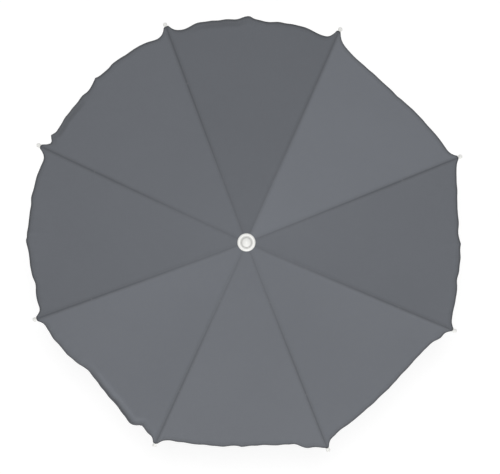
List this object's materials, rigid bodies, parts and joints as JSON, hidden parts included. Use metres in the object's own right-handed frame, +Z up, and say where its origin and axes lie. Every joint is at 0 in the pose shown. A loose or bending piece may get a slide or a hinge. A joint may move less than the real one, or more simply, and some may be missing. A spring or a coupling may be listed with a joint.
{
  "type": "pram parasol",
  "caption": "Folding cloth parasol on a slim tilting pole, with a ribbed frame, a sliding runner and a screw clamp that grips a pram's frame tube.",
  "frame": {"origin": "centre of the pram tube that the clamp grips", "axes": "+Z up along the pole, +Y along the gripped tube, +X towards the clamp's knob"},
  "size_m": [0.6919, 0.6924, 0.7975],
  "materials": {
    "cloth": "matt woven polyester, grey",
    "strip": "white painted steel strip",
    "white_plastic": "white moulded nylon",
    "grey_plastic": "grey moulded nylon",
    "pole": "white powder coat on steel tube",
    "steel": "zinc plated steel",
    "pad": "soft grey rubber"
  },
  "bodies": {
    "clamp": {"clamp_body": "white_plastic", "fixed_pad": "pad", "lower_pole": "pole", "knuckle_lower": "white_plastic", "knuckle_pin": "steel"},
    "mast": {"upper_pole": "pole", "knuckle_upper": "white_plastic", "notch": "white_plastic", "notch_wire": "steel", "top_cap": "white_plastic", "button_spring": "steel"},
    "rib_1": {"rib_1": "strip", "tip_1": "white_plastic", "gore_1": "cloth"},
    "stretcher_1": {"stretcher_1": "strip", "rivet_1": "steel"},
    "rib_2": {"rib_2": "strip", "tip_2": "white_plastic", "gore_2": "cloth"},
    "stretcher_2": {"stretcher_2": "strip", "rivet_2": "steel"},
    "rib_3": {"rib_3": "strip", "tip_3": "white_plastic", "gore_3": "cloth"},
    "stretcher_3": {"stretcher_3": "strip", "rivet_3": "steel"},
    "rib_4": {"rib_4": "strip", "tip_4": "white_plastic", "gore_4": "cloth"},
    "stretcher_4": {"stretcher_4": "strip", "rivet_4": "steel"},
    "rib_5": {"rib_5": "strip", "tip_5": "white_plastic", "gore_5": "cloth"},
    "stretcher_5": {"stretcher_5": "strip", "rivet_5": "steel"},
    "rib_6": {"rib_6": "strip", "tip_6": "white_plastic", "gore_6": "cloth"},
    "stretcher_6": {"stretcher_6": "strip", "rivet_6": "steel"},
    "rib_7": {"rib_7": "strip", "tip_7": "white_plastic", "gore_7": "cloth"},
    "stretcher_7": {"stretcher_7": "strip", "rivet_7": "steel"},
    "rib_8": {"rib_8": "strip", "tip_8": "white_plastic", "gore_8": "cloth"},
    "stretcher_8": {"stretcher_8": "strip", "rivet_8": "steel"},
    "runner": {"runner": "white_plastic", "runner_wire": "steel"},
    "catch": {"runner_catch": "steel"},
    "button": {"tilt_button": "grey_plastic"},
    "jaw": {"clamp_jaw": "white_plastic", "moving_pad": "pad"},
    "screw": {"clamp_screw": "steel", "clamp_knob": "grey_plastic"}
  },
  "joints": [
    {"name": "tilt", "type": "hinge", "parent": "clamp", "child": "mast", "pos_m": [0, 0, 0.338], "axis": [0, 1, 0], "range_deg": [-90, 90]},
    {"name": "fold", "type": "hinge", "parent": "mast", "child": "rib_1", "pos_m": [0.00831, 0.00344, 0.76943], "axis": [-0.3827, 0.9239, 0], "range_deg": [0, 57], "deforming": ["gore_1", "gore_2", "gore_3", "gore_4", "gore_5", "gore_6", "gore_7", "gore_8", "runner_catch"]},
    {"name": "stretcher_1_hinge", "type": "hinge", "parent": "rib_1", "child": "stretcher_1", "pos_m": [0.15688, 0.06498, 0.7004], "axis": [-0.3827, 0.9239, 0], "range_deg": [-114, 0]},
    {"name": "rib_2_hinge", "type": "hinge", "parent": "mast", "child": "rib_2", "pos_m": [0.00344, 0.00831, 0.76943], "axis": [-0.9239, 0.3827, 0], "range_deg": [0, 57]},
    {"name": "stretcher_2_hinge", "type": "hinge", "parent": "rib_2", "child": "stretcher_2", "pos_m": [0.06498, 0.15688, 0.7004], "axis": [-0.9239, 0.3827, 0], "range_deg": [-114, 0]},
    {"name": "rib_3_hinge", "type": "hinge", "parent": "mast", "child": "rib_3", "pos_m": [-0.00344, 0.00831, 0.76943], "axis": [-0.9239, -0.3827, 0], "range_deg": [0, 57]},
    {"name": "stretcher_3_hinge", "type": "hinge", "parent": "rib_3", "child": "stretcher_3", "pos_m": [-0.06498, 0.15688, 0.7004], "axis": [-0.9239, -0.3827, 0], "range_deg": [-114, 0]},
    {"name": "rib_4_hinge", "type": "hinge", "parent": "mast", "child": "rib_4", "pos_m": [-0.00831, 0.00344, 0.76943], "axis": [-0.3827, -0.9239, 0], "range_deg": [0, 57]},
    {"name": "stretcher_4_hinge", "type": "hinge", "parent": "rib_4", "child": "stretcher_4", "pos_m": [-0.15688, 0.06498, 0.7004], "axis": [-0.3827, -0.9239, 0], "range_deg": [-114, 0]},
    {"name": "rib_5_hinge", "type": "hinge", "parent": "mast", "child": "rib_5", "pos_m": [-0.00831, -0.00344, 0.76943], "axis": [0.3827, -0.9239, 0], "range_deg": [0, 57]},
    {"name": "stretcher_5_hinge", "type": "hinge", "parent": "rib_5", "child": "stretcher_5", "pos_m": [-0.15688, -0.06498, 0.7004], "axis": [0.3827, -0.9239, 0], "range_deg": [-114, 0]},
    {"name": "rib_6_hinge", "type": "hinge", "parent": "mast", "child": "rib_6", "pos_m": [-0.00344, -0.00831, 0.76943], "axis": [0.9239, -0.3827, 0], "range_deg": [0, 57]},
    {"name": "stretcher_6_hinge", "type": "hinge", "parent": "rib_6", "child": "stretcher_6", "pos_m": [-0.06498, -0.15688, 0.7004], "axis": [0.9239, -0.3827, 0], "range_deg": [-114, 0]},
    {"name": "rib_7_hinge", "type": "hinge", "parent": "mast", "child": "rib_7", "pos_m": [0.00344, -0.00831, 0.76943], "axis": [0.9239, 0.3827, 0], "range_deg": [0, 57]},
    {"name": "stretcher_7_hinge", "type": "hinge", "parent": "rib_7", "child": "stretcher_7", "pos_m": [0.06498, -0.15688, 0.7004], "axis": [0.9239, 0.3827, 0], "range_deg": [-114, 0]},
    {"name": "rib_8_hinge", "type": "hinge", "parent": "mast", "child": "rib_8", "pos_m": [0.00831, -0.00344, 0.76943], "axis": [0.3827, 0.9239, 0], "range_deg": [0, 57]},
    {"name": "stretcher_8_hinge", "type": "hinge", "parent": "rib_8", "child": "stretcher_8", "pos_m": [0.15688, -0.06498, 0.7004], "axis": [0.3827, 0.9239, 0], "range_deg": [-114, 0]},
    {"name": "runner_hinge", "type": "hinge", "parent": "stretcher_1", "child": "runner", "pos_m": [0.00831, 0.00344, 0.63137], "axis": [-0.3827, 0.9239, 0], "range_deg": [0, 57]},
    {"name": "catch_press", "type": "hinge", "parent": "mast", "child": "catch", "pos_m": [0.00305, 0, 0.57057], "axis": [0, -1, 0], "range_deg": [0, 8.5], "stiffness_Nm_per_rad": 0.05},
    {"name": "button_press", "type": "slide", "parent": "clamp", "child": "button", "axis": [0, -1, 0], "range_m": [0, 0.003], "stiffness_N_per_m": 600, "deforming": ["button_spring"]},
    {"name": "jaw_slide", "type": "slide", "parent": "clamp", "child": "jaw", "axis": [1, 0, 0], "range_m": [-0.006, 0.012]},
    {"name": "screw_turn", "type": "hinge", "parent": "jaw", "child": "screw", "pos_m": [0, 0, 0], "axis": [1, 0, 0], "range_deg": [-720, 1440]}
  ],
  "couplings": [
    {"joint": "stretcher_1_hinge", "follows": "fold", "ratio": -2},
    {"joint": "rib_2_hinge", "follows": "fold", "ratio": 1},
    {"joint": "stretcher_2_hinge", "follows": "fold", "ratio": -2},
    {"joint": "rib_3_hinge", "follows": "fold", "ratio": 1},
    {"joint": "stretcher_3_hinge", "follows": "fold", "ratio": -2},
    {"joint": "rib_4_hinge", "follows": "fold", "ratio": 1},
    {"joint": "stretcher_4_hinge", "follows": "fold", "ratio": -2},
    {"joint": "rib_5_hinge", "follows": "fold", "ratio": 1},
    {"joint": "stretcher_5_hinge", "follows": "fold", "ratio": -2},
    {"joint": "rib_6_hinge", "follows": "fold", "ratio": 1},
    {"joint": "stretcher_6_hinge", "follows": "fold", "ratio": -2},
    {"joint": "rib_7_hinge", "follows": "fold", "ratio": 1},
    {"joint": "stretcher_7_hinge", "follows": "fold", "ratio": -2},
    {"joint": "rib_8_hinge", "follows": "fold", "ratio": 1},
    {"joint": "stretcher_8_hinge", "follows": "fold", "ratio": -2},
    {"joint": "runner_hinge", "follows": "fold", "ratio": 1},
    {"joint": "jaw_slide", "follows": "screw_turn", "m_per_rad": 0.00047746}
  ]
}
